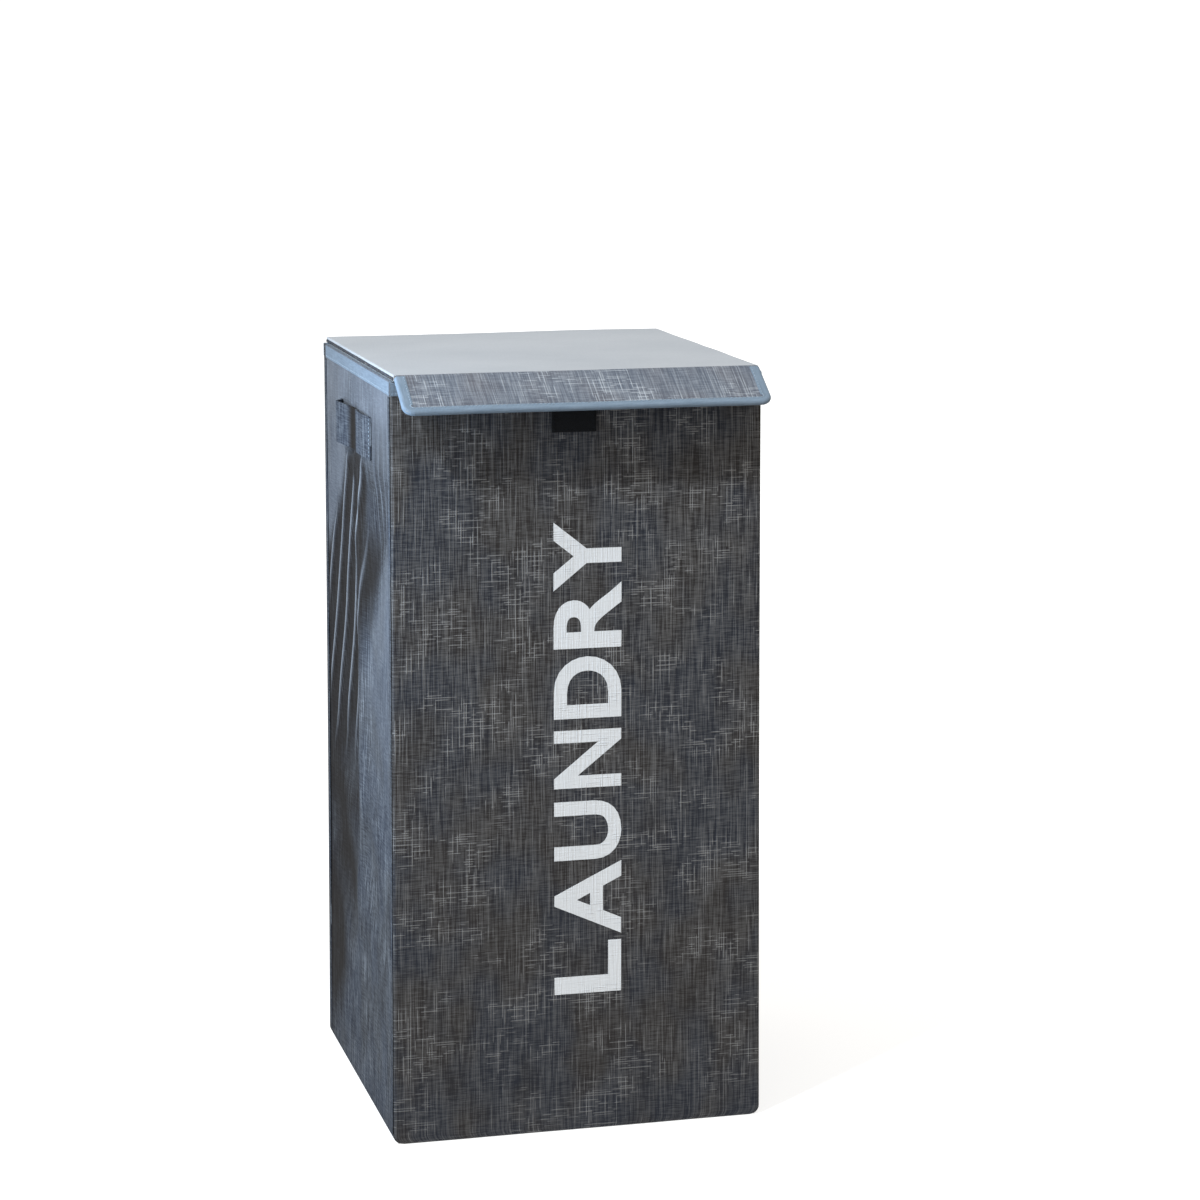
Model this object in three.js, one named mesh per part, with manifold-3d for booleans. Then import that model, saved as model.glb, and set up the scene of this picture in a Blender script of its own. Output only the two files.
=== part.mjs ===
// A foldable laundry hamper with a lid: stiff front and back panels, creased side gussets,
// a lift-up base board, and a cloth-covered lid with a flap that closes on a hook-and-loop patch.
// Millimetres, +Z up. The front faces -Y; the origin is the middle of the footprint, on the floor.

import * as THREE from 'three';
import { mergeVertices } from 'three/addons/utils/BufferGeometryUtils.js';
import Module from 'manifold-3d';

const wasm = await Module();
wasm.setup();

// Overall sizes of the standing hamper, to the outer faces of its cloth.
const WIDTH = 316;
const DEPTH = 320;
const RIM_HEIGHT = 650;

// Layers of a panel, from outside to inside: cloth, board, lining, with a gap between them.
const CLOTH = 0.8;
const BOARD = 1.8;
const LID_BOARD = 2.4;
const GAP = 0.3;
const PANEL = CLOTH + GAP + BOARD + GAP + CLOTH;
const LID_PANEL = CLOTH + GAP + LID_BOARD + GAP + CLOTH;

// Rim: a tape folded over the top edge of each panel.
const TAPE_DEPTH = 12;

// Side gussets: stiffened near the rim only, so that the cloth below can crumple.
const STIFFENER_HEIGHT = 70;

// Base board and its cover, hinged at the foot of the back panel.
const BASE_BOARD = 3;
const BASE_SIDE_CLEARANCE = 1.5;
const BASE_REAR_CLEARANCE = 2.2;
const BASE_FRONT_CLEARANCE = 2;
const BASE_STOWED_CLEARANCE = 2.5;
const PULL_TAB_WIDTH = 30;
const PULL_TAB_LENGTH = 24;

// Carrying straps, one on each side, centred on the crease.
const STRAP_LENGTH = 141;
const STRAP_WIDTH = 36;
const STRAP_THICKNESS = 2;
const STRAP_DROP = 40;
const STRAP_STAND_OFF = 6.3;
const STRAP_SEWN_END = 16;
const STRAP_RISE = 20;

// Lid and front flap.
const LID_INSET = 3;
const LID_SEAT_GAP = 0.4;
const FLAP_LENGTH = 48;
const FLAP_FOLD_GAP = 1;
const FLAP_PITCH = 31;
const FLAP_BINDING = 9;
const FLAP_CORNER = 7;
const HINGE_CLOTH_LAP = 24;
const HINGE_CLOTH_INSET = 6;

// Hook-and-loop patches: one on the front panel, its mate under the flap.
const PATCH_WIDTH = 38;
const PATCH_THICKNESS = 1.2;
const PATCH_OFFSET = -4;
const LOOP_PATCH_HEIGHT = 38;
const LOOP_PATCH_DROP = 8;
const HOOK_PATCH_LENGTH = 28;
const HOOK_PATCH_FROM_FOLD = 15;

const finishes = {
  linen: { color: 0x43444a, roughness: 0.9, metalness: 0 },
  pale_cloth: { color: 0xb6c0cc, roughness: 0.85, metalness: 0 },
  tape: { color: 0x90acc8, roughness: 0.75, metalness: 0 },
  lining: { color: 0xc9cbd0, roughness: 0.8, metalness: 0 },
  board: { color: 0x8b7a63, roughness: 0.95, metalness: 0 },
  hook_and_loop: { color: 0x0c0c0e, roughness: 0.95, metalness: 0 },
};

const hamper = new THREE.Group();

function addMesh(parent, name, geometry, finish) {
  const mesh = new THREE.Mesh(geometry, new THREE.MeshStandardMaterial(finishes[finish]));
  mesh.name = name;
  parent.add(mesh);
  return mesh;
}

// A box between two values on each axis.
function block([x0, x1], [y0, y1], [z0, z1]) {
  const geometry = new THREE.BoxGeometry(x1 - x0, y1 - y0, z1 - z0);
  return geometry.translate((x0 + x1) / 2, (y0 + y1) / 2, (z0 + z1) / 2);
}

function toSolid(geometry) {
  const bare = geometry.clone();
  bare.deleteAttribute('normal');
  bare.deleteAttribute('uv');
  const merged = mergeVertices(bare, 1e-4);
  return new wasm.Manifold(new wasm.Mesh({
    numProp: 3,
    vertProperties: Float32Array.from(merged.attributes.position.array),
    triVerts: Uint32Array.from(merged.index.array),
  }));
}

function toGeometry(solid) {
  const { vertProperties, triVerts } = solid.getMesh();
  const geometry = new THREE.BufferGeometry();
  geometry.setAttribute('position', new THREE.BufferAttribute(vertProperties, 3));
  geometry.setIndex(new THREE.BufferAttribute(triVerts, 1));
  return geometry;
}

// A cutting tool runs this far past the faces it cuts through.
const OVER_RUN = 1;

function cut(geometry, ...tools) {
  return toGeometry(tools.reduce((solid, tool) => solid.subtract(toSolid(tool)), toSolid(geometry)));
}

// Layers of a wall, as distances in from its outer face.
const clothLayer = [0, CLOTH];
const boardLayer = [CLOTH + GAP, CLOTH + GAP + BOARD];
const liningLayer = [PANEL - CLOTH, PANEL];
const slotLayer = [CLOTH, PANEL - CLOTH];
const tapeBottom = RIM_HEIGHT - TAPE_DEPTH;
const boardTop = RIM_HEIGHT - CLOTH - GAP;

// A wall is made from a function that turns a span through its thickness, a span along it
// and a height span into a box. The rim tape is a channel over the wall's top edge.
function addWall(prefix, place, along, boardBottom) {
  const clothHeight = [0, tapeBottom - GAP];
  const boardAlong = [along[0] + GAP, along[1] - GAP];
  addMesh(hamper, `${prefix}_cloth`, place(clothLayer, along, clothHeight), 'linen');
  addMesh(hamper, `${prefix}_board`, place(boardLayer, boardAlong, [boardBottom, boardTop]), 'board');
  addMesh(hamper, `${prefix}_lining`, place(liningLayer, along, clothHeight), 'lining');
  const slotAlong = [along[0] - OVER_RUN, along[1] + OVER_RUN];
  const channel = cut(
    place([0, PANEL], along, [tapeBottom, RIM_HEIGHT]),
    place(slotLayer, slotAlong, [tapeBottom - OVER_RUN, RIM_HEIGHT - CLOTH]),
  );
  addMesh(hamper, `${prefix}_rim_tape`, channel, 'tape');
}

const outerX = WIDTH / 2;
const outerY = DEPTH / 2;
const innerX = outerX - PANEL;
const innerY = outerY - PANEL;

// Front and back walls run the whole width.
addWall('front', (t, s, h) => block(s, [t[0] - outerY, t[1] - outerY], h), [-outerX, outerX], GAP);
addWall('back', (t, s, h) => block(s, [outerY - t[1], outerY - t[0]], h), [-outerX, outerX], GAP);

// Each side gusset is two halves that meet at a crease midway between their corner seams.
// The rear seam stands forward of the back wall, to leave room for the raised base board.
const baseStack = BASE_BOARD + 2 * (GAP + CLOTH);
const frontSeam = -innerY + GAP;
const rearSeam = innerY - baseStack - BASE_STOWED_CLEARANCE - GAP;
const crease = (frontSeam + rearSeam) / 2;
const stiffenerBottom = RIM_HEIGHT - STIFFENER_HEIGHT;
const sides = { left: -1, right: 1 };

for (const [side, sign] of Object.entries(sides)) {
  const place = (t, s, h) => block(
    [sign * (outerX - t[0]), sign * (outerX - t[1])].sort((a, b) => a - b), s, h);
  addWall(`${side}_front`, place, [frontSeam, crease - GAP / 2], stiffenerBottom);
  addWall(`${side}_rear`, place, [crease + GAP / 2, rearSeam], stiffenerBottom);
  // The corner strip is the cloth-covered edge that carries the gusset's rear seam.
  addMesh(hamper, `${side}_corner_strip`,
    place([0, PANEL], [rearSeam + GAP, innerY - GAP], [0, RIM_HEIGHT]), 'linen');
}

// The carrying strap: sewn flat at both ends, standing off the side between them.
function strapOutline() {
  const half = STRAP_LENGTH / 2;
  const flat = half - STRAP_SEWN_END;
  const top = flat - STRAP_RISE;
  const raised = STRAP_STAND_OFF;
  const thick = STRAP_THICKNESS;
  const shape = new THREE.Shape();
  shape.moveTo(-half, 0);
  shape.lineTo(-flat, 0);
  shape.lineTo(-top, raised);
  shape.lineTo(top, raised);
  shape.lineTo(flat, 0);
  shape.lineTo(half, 0);
  shape.lineTo(half, thick);
  shape.lineTo(flat, thick);
  shape.lineTo(top, raised + thick);
  shape.lineTo(-top, raised + thick);
  shape.lineTo(-flat, thick);
  shape.lineTo(-half, thick);
  return shape;
}

const strapBottom = RIM_HEIGHT - STRAP_DROP - STRAP_WIDTH;
for (const [side, sign] of Object.entries(sides)) {
  const geometry = new THREE.ExtrudeGeometry(strapOutline(), { depth: STRAP_WIDTH, bevelEnabled: false });
  const strap = addMesh(hamper, `${side}_carry_strap`, geometry, 'linen');
  strap.rotation.z = sign * -Math.PI / 2;
  strap.position.set(sign * (outerX + GAP), crease, strapBottom);
}

// The soft bottom cloth lies inside the foot of the walls, and the base board lies on it.
addMesh(hamper, 'bottom_cloth',
  block([GAP - innerX, innerX - GAP], [GAP - innerY, innerY - GAP], [0, CLOTH]), 'linen');

const baseX = [BASE_SIDE_CLEARANCE - innerX, innerX - BASE_SIDE_CLEARANCE];
const baseY = [BASE_FRONT_CLEARANCE - innerY, innerY - BASE_REAR_CLEARANCE];
const baseBottom = CLOTH + GAP;
const baseTop = baseBottom + BASE_BOARD;
const coverTop = baseTop + GAP + CLOTH;
addMesh(hamper, 'base_board', block(baseX, baseY, [baseBottom, baseTop]), 'board');
addMesh(hamper, 'base_cover', block(baseX, baseY, [baseTop + GAP, coverTop]), 'lining');
const tabHalf = PULL_TAB_WIDTH / 2;
const tabY = [baseY[0], baseY[0] + PULL_TAB_LENGTH];
addMesh(hamper, 'base_pull_tab',
  block([-tabHalf, tabHalf], tabY, [coverTop + GAP, coverTop + GAP + CLOTH]), 'tape');

// The loop patch is sewn to the front, just under the rim tape.
const patchX = [PATCH_OFFSET - PATCH_WIDTH / 2, PATCH_OFFSET + PATCH_WIDTH / 2];
const loopTop = RIM_HEIGHT - LOOP_PATCH_DROP;
const loopY = [-outerY - GAP - PATCH_THICKNESS, -outerY - GAP];
addMesh(hamper, 'loop_patch',
  block(patchX, loopY, [loopTop - LOOP_PATCH_HEIGHT, loopTop]), 'hook_and_loop');

// The lid rests on the rim tapes. Its hinge cloth is sewn to the back, up to the lid's top.
const lidBottom = RIM_HEIGHT + LID_SEAT_GAP;
const lidTop = lidBottom + LID_PANEL;
const lidX = [LID_INSET - outerX, outerX - LID_INSET];
const lidY = [-outerY, outerY];
const lidBoardBottom = lidBottom + CLOTH + GAP;
addMesh(hamper, 'lid_lining', block(lidX, lidY, [lidBottom, lidBottom + CLOTH]), 'lining');
addMesh(hamper, 'lid_board',
  block(lidX, lidY, [lidBoardBottom, lidBoardBottom + LID_BOARD]), 'board');
addMesh(hamper, 'lid_cloth', block(lidX, lidY, [lidTop - CLOTH, lidTop]), 'pale_cloth');
addMesh(hamper, 'lid_hinge_cloth', block([lidX[0] + HINGE_CLOTH_INSET, lidX[1] - HINGE_CLOTH_INSET],
  [outerY + GAP, outerY + GAP + CLOTH], [tapeBottom - HINGE_CLOTH_LAP, lidTop]), 'linen');

// The flap turns about the lower front edge of the lid. In its own group, +X is the hamper's X,
// +Y runs from its free edge back to the fold, and +Z is its outer face's normal.
const flap = new THREE.Group();
flap.position.set(0, -outerY - GAP, lidBottom + GAP);
flap.rotation.x = THREE.MathUtils.degToRad(FLAP_PITCH);
hamper.add(flap);

const flapX = lidX;
const flapY = [-FLAP_LENGTH, -FLAP_FOLD_GAP];
const flapInnerX = [flapX[0] + FLAP_BINDING, flapX[1] - FLAP_BINDING];
const flapInnerY = [flapY[0] + FLAP_BINDING, flapY[1]];
const flapBoardSpan = [CLOTH + GAP, CLOTH + GAP + LID_BOARD];
const flapClothX = [flapInnerX[0] + GAP, flapInnerX[1] - GAP];
const flapClothY = [flapInnerY[0] + GAP, flapInnerY[1]];

// The flap's plan has two rounded free corners.
function flapPlan(grow) {
  const [x0, x1] = [flapX[0] - grow, flapX[1] + grow];
  const [y0, y1] = [flapY[0] - grow, flapY[1]];
  const r = FLAP_CORNER + grow;
  const shape = new THREE.Shape();
  shape.moveTo(x1, y1);
  shape.lineTo(x0, y1);
  shape.lineTo(x0, y0 + r);
  shape.absarc(x0 + r, y0 + r, r, Math.PI, 1.5 * Math.PI);
  shape.lineTo(x1 - r, y0);
  shape.absarc(x1 - r, y0 + r, r, 1.5 * Math.PI, 2 * Math.PI);
  return shape;
}

function flapSlab(grow, [z0, z1]) {
  const settings = { depth: z1 - z0, bevelEnabled: false, curveSegments: 6 };
  return new THREE.ExtrudeGeometry(flapPlan(grow), settings).translate(0, 0, z0);
}

addMesh(flap, 'flap_lining', block(flapClothX, flapClothY, [0, CLOTH]), 'lining');
addMesh(flap, 'flap_board', flapSlab(-CLOTH - GAP, flapBoardSpan), 'board');
addMesh(flap, 'flap_cloth', block(flapClothX, flapClothY, [LID_PANEL - CLOTH, LID_PANEL]), 'linen');

// The flap's tape is a channel round its two ends and its free edge.
const flapWindow = block(flapInnerX, [flapInnerY[0], flapY[1] + OVER_RUN],
  [-OVER_RUN, LID_PANEL + OVER_RUN]);
const slotSpan = [CLOTH, LID_PANEL - CLOTH];
const slotMouth = block([flapX[0] + CLOTH, flapX[1] - CLOTH],
  [flapY[1] - OVER_RUN, flapY[1] + OVER_RUN], slotSpan);
addMesh(flap, 'flap_binding',
  cut(flapSlab(0, [0, LID_PANEL]), flapWindow, flapSlab(-CLOTH, slotSpan), slotMouth), 'tape');

const hookY = [-HOOK_PATCH_FROM_FOLD - HOOK_PATCH_LENGTH, -HOOK_PATCH_FROM_FOLD];
addMesh(flap, 'hook_patch', block(patchX, hookY, [-GAP - PATCH_THICKNESS, -GAP]), 'hook_and_loop');

export default hamper;
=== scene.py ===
import math

import bmesh
import bpy
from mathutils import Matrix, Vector, noise


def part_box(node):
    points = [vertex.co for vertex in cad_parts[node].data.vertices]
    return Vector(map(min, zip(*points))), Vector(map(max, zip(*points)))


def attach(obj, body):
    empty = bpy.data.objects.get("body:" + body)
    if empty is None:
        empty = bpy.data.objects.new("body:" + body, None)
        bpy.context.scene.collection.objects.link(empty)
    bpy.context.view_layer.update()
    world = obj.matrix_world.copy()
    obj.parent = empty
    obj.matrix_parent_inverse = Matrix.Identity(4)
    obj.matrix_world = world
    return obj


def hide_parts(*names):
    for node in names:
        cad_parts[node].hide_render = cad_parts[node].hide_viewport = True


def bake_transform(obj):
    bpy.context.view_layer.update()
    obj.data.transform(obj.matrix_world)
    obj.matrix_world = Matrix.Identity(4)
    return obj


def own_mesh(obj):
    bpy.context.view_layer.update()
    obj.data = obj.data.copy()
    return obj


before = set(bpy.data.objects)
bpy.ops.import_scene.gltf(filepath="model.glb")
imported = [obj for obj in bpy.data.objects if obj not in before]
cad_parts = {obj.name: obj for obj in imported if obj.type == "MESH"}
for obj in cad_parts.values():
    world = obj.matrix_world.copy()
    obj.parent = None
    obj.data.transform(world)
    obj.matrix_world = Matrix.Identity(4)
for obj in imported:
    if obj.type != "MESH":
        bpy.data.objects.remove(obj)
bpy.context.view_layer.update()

# Camera. It stands a little to the hamper's left and above the middle of it, and looks
# slightly down, with a long lens and no tilt.
VIEW_TURN = math.radians(-14.4)
VIEW_RISE = math.radians(10.36)
VIEW_DISTANCE = 2.913
AIM_ACROSS, AIM_HEIGHT = 0.0576, 0.434
view_right = Vector((math.cos(VIEW_TURN), math.sin(VIEW_TURN), 0))
view_back = Vector((math.sin(VIEW_TURN) * math.cos(VIEW_RISE),
                    -math.cos(VIEW_TURN) * math.cos(VIEW_RISE), math.sin(VIEW_RISE)))
camera = bpy.data.objects.new("camera", bpy.data.cameras.new("camera"))
camera.data.lens = 99
camera.data.sensor_width = 36
camera.location = (view_right * AIM_ACROSS + Vector((0, 0, AIM_HEIGHT))
                   + view_back * VIEW_DISTANCE)
camera.rotation_euler = view_back.to_track_quat("Z", "Y").to_euler()
bpy.context.scene.collection.objects.link(camera)
bpy.context.scene.camera = camera


# Floor and light. A white floor under an even white surround, one soft key lamp high on the
# left, and a cool lamp near the left side.
class Value:
    """A socket of a material that adds, subtracts, multiplies and divides like a number."""

    def __init__(self, finish, socket):
        self.finish, self.socket = finish, socket

    def maths(self, operation, *numbers):
        sockets = dict(enumerate(numbers))
        return self.finish.add("ShaderNodeMath", {"operation": operation}, sockets)

    def __add__(self, other):
        return self.maths("ADD", self, other)

    def __radd__(self, other):
        return self.maths("ADD", other, self)

    def __sub__(self, other):
        return self.maths("SUBTRACT", self, other)

    def __rsub__(self, other):
        return self.maths("SUBTRACT", other, self)

    def __mul__(self, other):
        return self.maths("MULTIPLY", self, other)

    def __rmul__(self, other):
        return self.maths("MULTIPLY", other, self)

    def __truediv__(self, other):
        return self.maths("DIVIDE", self, other)


class Finish:
    """A material being made. add() places one node: its settings, then its sockets."""

    def __init__(self, name, roughness, sheen=0.0):
        self.material = bpy.data.materials.new(name)
        self.material.use_nodes = True
        self.nodes = self.material.node_tree.nodes
        self.links = self.material.node_tree.links
        self.shader = self.nodes["Principled BSDF"]
        self.shader.inputs["Roughness"].default_value = roughness
        self.shader.inputs["Sheen Weight"].default_value = sheen
        self.shader.inputs["Specular IOR Level"].default_value = 0.06

    def add(self, kind, settings, sockets, output=0):
        node = self.nodes.new(kind)
        for key, setting in settings.items():
            setattr(node, key, setting)
        for key, value in sockets.items():
            if isinstance(value, Value):
                self.links.new(value.socket, node.inputs[key])
            else:
                node.inputs[key].default_value = value
        return Value(self, node.outputs[output])

    def noise(self, x, y, z=0.0, detail=1.0):
        place = self.add("ShaderNodeCombineXYZ", {}, {0: x, 1: y, 2: z})
        return self.add("ShaderNodeTexNoise", {"noise_dimensions": "3D"},
                        {"Vector": place, "Scale": 1.0, "Detail": detail})

    def step(self, value, low, high):
        return self.add("ShaderNodeMapRange", {"interpolation_type": "SMOOTHSTEP"},
                        {"Value": value, "From Min": low, "From Max": high})

    def mix(self, share, first, second):
        """The colour between two colours. The node has two sockets of each name by type."""
        return self.add("ShaderNodeMix", {"data_type": "RGBA"},
                        {0: share, 6: first, 7: second}, output=2)

    def cloth_place(self):
        place = self.add("ShaderNodeUVMap", {"uv_map": "cloth"}, {})
        parts = self.nodes.new("ShaderNodeSeparateXYZ")
        self.links.new(place.socket, parts.inputs[0])
        return Value(self, parts.outputs[0]), Value(self, parts.outputs[1])

    def wear(self, colour, height, relief):
        """Links the colour, and a bump of that many metres, to the shader."""
        self.links.new(colour.socket, self.shader.inputs["Base Color"])
        bump = self.add("ShaderNodeBump", {}, {"Height": height, "Distance": relief})
        self.links.new(bump.socket, self.shader.inputs["Normal"])
        return self.material


def paint(red, green, blue):
    """A colour as a screen shows it, out of 255, as the shader's linear colour."""
    return tuple(((c / 255 + 0.055) / 1.055) ** 2.4 for c in (red, green, blue)) + (1.0,)


def finished(mesh, name):
    """The object that a bmesh becomes once its shape is final."""
    piece = bpy.data.objects.new(name, bpy.data.meshes.new(name))
    mesh.to_mesh(piece.data)
    mesh.free()
    bpy.context.scene.collection.objects.link(piece)
    return piece


FLOOR_RADIUS = 14
FLOOR_DROP = 0.0006
floor_mesh = bmesh.new()
bmesh.ops.create_circle(floor_mesh, cap_ends=True, radius=FLOOR_RADIUS, segments=96)
floor = finished(floor_mesh, "floor")
floor.location.z = -FLOOR_DROP
floor_finish = Finish("floor_white", 0.9)
floor_finish.shader.inputs["Base Color"].default_value = (0.55, 0.55, 0.55, 1)
floor_finish.shader.inputs["Emission Color"].default_value = (1, 1, 1, 1)
floor_finish.shader.inputs["Emission Strength"].default_value = 0.72
floor.data.materials.append(floor_finish.material)
floor.visible_diffuse = False
floor.visible_glossy = False

world = bpy.data.worlds.new("surround")
bpy.context.scene.world = world
world.use_nodes = True
nodes, links = world.node_tree.nodes, world.node_tree.links
sky = nodes.new("ShaderNodeTexCoord")
height_of = nodes.new("ShaderNodeSeparateXYZ")
fade = nodes.new("ShaderNodeMapRange")
fade.interpolation_type = "SMOOTHSTEP"
for socket, value in {"From Min": -0.35, "From Max": 0.45, "To Min": 0.34, "To Max": 0.66}.items():
    fade.inputs[socket].default_value = value
ambient = nodes["Background"]
ambient.inputs["Color"].default_value = (1.0, 0.96, 0.90, 1)
links.new(sky.outputs["Generated"], height_of.inputs[0])
links.new(height_of.outputs[2], fade.inputs["Value"])
links.new(fade.outputs[0], ambient.inputs["Strength"])
backdrop = nodes.new("ShaderNodeBackground")
backdrop.inputs["Color"].default_value = (1, 1, 1, 1)
backdrop.inputs["Strength"].default_value = 1.1
ray = nodes.new("ShaderNodeLightPath")
either = nodes.new("ShaderNodeMixShader")
links.new(ray.outputs["Is Camera Ray"], either.inputs[0])
links.new(ambient.outputs[0], either.inputs[1])
links.new(backdrop.outputs[0], either.inputs[2])
links.new(either.outputs[0], nodes["World Output"].inputs["Surface"])


def lamp(name, kind, energy, colour, source):
    """A lamp whose light comes from the way source points."""
    light = bpy.data.objects.new(name, bpy.data.lights.new(name, kind))
    light.data.energy = energy
    light.data.color = colour
    light.rotation_euler = Vector(source).to_track_quat("Z", "Y").to_euler()
    bpy.context.scene.collection.objects.link(light)
    return light


key = lamp("key_lamp", "SUN", 1.95, (0.88, 0.95, 1.0), (-0.57, -0.43, 0.70))
key.data.angle = math.radians(3.5)
cool = lamp("cool_lamp", "AREA", 3.3, (0.62, 0.80, 1.0), (-1, -0.1, 0.25))
cool.data.shape = "RECTANGLE"
cool.data.size = 0.25
cool.data.size_y = 0.40
cool.location = (-0.55, -0.21, 0.60)
cool.visible_camera = False
bpy.context.scene.view_settings.view_transform = "Standard"


# Front panel. Linen-look polyester is glued and turned round a stiff board, and its side edges
# wrap back to the corner seams. It bows a little between the seams and lies flat under the tape.
MM = 0.001
FRONT_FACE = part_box("front_cloth")[0].y
HALF_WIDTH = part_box("front_cloth")[1].x
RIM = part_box("front_rim_tape")[1].z
CLOTH_THICK = 0.8 * MM
FOOT_FLARE = 4 * MM
FOOT_ROUND = 7 * MM
PANEL_TURN = 2.4 * MM
WEAVE_RELIEF = 0.00025


def half_width(height):
    """Half the body's width at a height: it spreads a little towards the foot."""
    spread = FOOT_FLARE * (1 - min(height / RIM, 1)) ** 1.4
    missing = max(0.0, FOOT_ROUND - height)
    rounding = FOOT_ROUND - math.sqrt(max(0.0, FOOT_ROUND ** 2 - missing ** 2))
    return HALF_WIDTH + spread - rounding


def stations(length, count, extra=()):
    """Even distances along a length, with a few more where the cloth turns tightly."""
    return sorted(set([length * k / count for k in range(count + 1)]) | set(extra))


def cloth_panel(name, across, up, place, out, thick=CLOTH_THICK):
    """A sheet whose columns and rows lie at these distances, put where place() says."""
    mesh = bmesh.new()
    bmesh.ops.create_grid(mesh, x_segments=len(across) - 1, y_segments=len(up) - 1, size=0.5)
    layer = mesh.loops.layers.uv.new("cloth")
    spots = {}
    for vertex in mesh.verts:
        column = round((vertex.co.x + 0.5) * (len(across) - 1))
        row = round((vertex.co.y + 0.5) * (len(up) - 1))
        spots[vertex] = (across[column], up[row])
        vertex.co = Vector(place(*spots[vertex]))
    for face in mesh.faces:
        face.smooth = True
        for loop in face.loops:
            loop[layer].uv = spots[loop.vert]
    for edge in mesh.edges:
        edge.smooth = not edge.is_boundary
    mesh.normal_update()
    facing = sum((face.normal * face.calc_area() for face in mesh.faces), Vector())
    if facing.dot(Vector(out)) < 0:
        bmesh.ops.reverse_faces(mesh, faces=mesh.faces)
    piece = finished(mesh, name)
    wall = piece.modifiers.new("wall", "SOLIDIFY")
    wall.thickness = thick
    wall.offset = -1
    return piece


def linen(name, ground, thread, tint_cool, tint_warm, crossing=1.0, foot=0.0):
    """Dark cross-dyed weave with pale slubs: long ones up, short ones across in clusters."""
    f = Finish(name, 0.86, sheen=0.02)
    across, up = f.cloth_place()
    fine_up = f.noise(across / 0.0010, up / 0.030, 1.3)
    fine_across = f.noise(across / 0.011, up / 0.0010, 7.7)
    threads = {}
    for way, (side, along, run, low, high) in {
        "up": (across, up, 0.048, 0.54, 0.58), "over": (up, across, 0.019, 0.53, 0.57),
    }.items():
        count = side / 0.0020
        row = count.maths("FLOOR", count)
        lit = f.step(f.noise(row * 7.31, along / run, 3.1), low, high)
        off_centre = count.maths("FRACT", count) * 2.0 - 1.0
        core = f.step(1.0 - off_centre.maths("ABSOLUTE", off_centre), 0.30, 0.95)
        threads[way] = lit * core
    cluster = f.step(f.noise(across / 0.045, up / 0.035, 9.2, 2.0), 0.46, 0.60)
    slubs = threads["up"] * (0.26 + cluster * 0.50) + (
        threads["over"] * (0.07 + cluster * 0.66) * crossing)
    weave = (fine_up * 1.2 + fine_across * 0.8 - 1.0) * 1.5
    share = weave * 0.42 + slubs * 0.85 + 0.13
    # Painted shade: below foot height the pale slubs fade, so the cloth is darker towards the bottom.
    if foot:
        share = share * (f.step(up, 0.0, foot) * 0.30 + 0.70)
    share = f.add("ShaderNodeClamp", {}, {"Value": share})
    patches = f.noise(across / 0.050, up / 0.070, 4.4, 2.0)
    base = f.mix(f.step(patches, 0.35, 0.65), tint_cool, tint_warm)
    base = f.mix(0.5, ground, base)
    return f, share, f.mix(share, base, thread), weave + slubs


def ease(value, low, high):
    """0 below low and 1 above high, with a smooth change between."""
    share = min(1.0, max(0.0, (value - low) / (high - low)))
    return share * share * (3 - 2 * share)


def waver(x, y, z):
    """Smooth noise at a point, from about -1 to 1."""
    return noise.noise(Vector((x, y, z)))


def front_bow(across, height):
    """How far the front cloth stands out of its flat plane at a place, in metres."""
    edge = max(0.0, 1 - (abs(across) / HALF_WIDTH) ** 4)
    soft = waver(across * 7 + 3, height * 5, 0.5)
    fine = waver(across * 26, height * 18, 2)
    bow = edge * (0.9 * MM * soft + 0.3 * MM * fine)
    return bow * (1 - ease(height, RIM - 30 * MM, RIM - 13 * MM))


def wrapped(face_y, wrap, bow, turn=PANEL_TURN):
    """place() for a panel's cloth: across the face, round both corners and back by wrap."""
    sign = 1 if face_y > 0 else -1
    arc = turn * math.pi / 2
    half_run = HALF_WIDTH - turn + arc + wrap

    def place(distance, height):
        from_middle = distance - half_run
        side, run = (1 if from_middle > 0 else -1), abs(from_middle)
        spread = half_width(height) / HALF_WIDTH
        if run <= HALF_WIDTH - turn:
            across = side * run
            return across * spread, face_y + sign * bow(across, height), height
        angle = min(run - (HALF_WIDTH - turn), arc) / turn
        back = max(0.0, run - (HALF_WIDTH - turn) - arc)
        return (side * (HALF_WIDTH - turn + turn * math.sin(angle)) * spread,
                face_y - sign * (turn * (1 - math.cos(angle)) + back), height)

    edges = [half_run - HALF_WIDTH + turn - arc * k / 5 for k in range(6)]
    columns = stations(2 * half_run, 56, edges + [2 * half_run - e for e in edges])
    return columns, place


def dress(piece, material, body, slot, *replaced):
    """Gives a piece its material and body, and the solids that it replaces. The slot is not used."""
    piece.data.materials.append(material)
    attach(piece, body)
    if replaced:
        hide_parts(*replaced)


panel_rows = stations(RIM - 0.5 * MM, 96, [k * MM for k in (0.6, 1.5, 3, 5, 7)])
front_columns, front_place = wrapped(FRONT_FACE, 1.3 * MM, front_bow)
front_panel = cloth_panel("front_panel_cloth", front_columns, panel_rows, front_place, (0, -1, 0))
CHARCOAL = (paint(52, 52, 55), paint(152, 152, 153), paint(49, 55, 67), paint(62, 57, 53))
charcoal, _, charcoal_colour, charcoal_height = linen("charcoal_linen", *CHARCOAL, foot=0.45)
charcoal_linen = charcoal.wear(charcoal_colour, charcoal_height, WEAVE_RELIEF)
dress(front_panel, charcoal_linen, "front", "linen", "front_cloth")


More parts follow.
